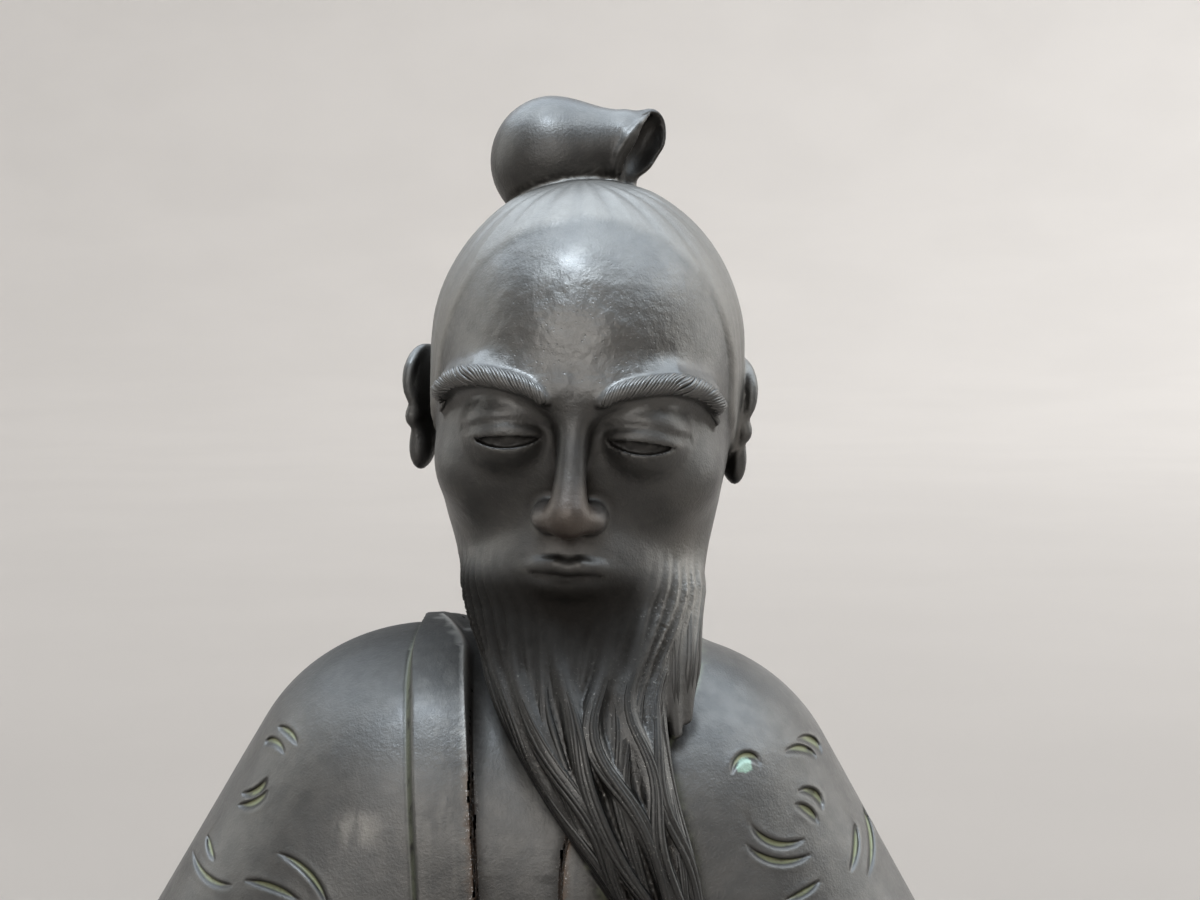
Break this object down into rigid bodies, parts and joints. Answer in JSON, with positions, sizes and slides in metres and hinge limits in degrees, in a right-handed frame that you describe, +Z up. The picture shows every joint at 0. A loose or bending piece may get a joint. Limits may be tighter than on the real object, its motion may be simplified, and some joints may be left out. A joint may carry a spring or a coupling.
{
  "type": "bust of a bearded immortal",
  "caption": "Cast bust of a bowed, bearded old sage with a folded topknot and a robe with crossed lapels and incised crescents, cut flat below.",
  "frame": {"origin": "middle of the flat underside, below the neck", "axes": "+Z up out of the underside towards the topknot, -Y the way the face looks, +X on the viewer's right"},
  "size_m": [0.0929, 0.0482, 0.0974],
  "materials": {
    "bronze": "satin dark brown-black patina, a little worn on high places"
  },
  "bodies": {
    "root": {"bust": "bronze"}
  },
  "joints": []
}
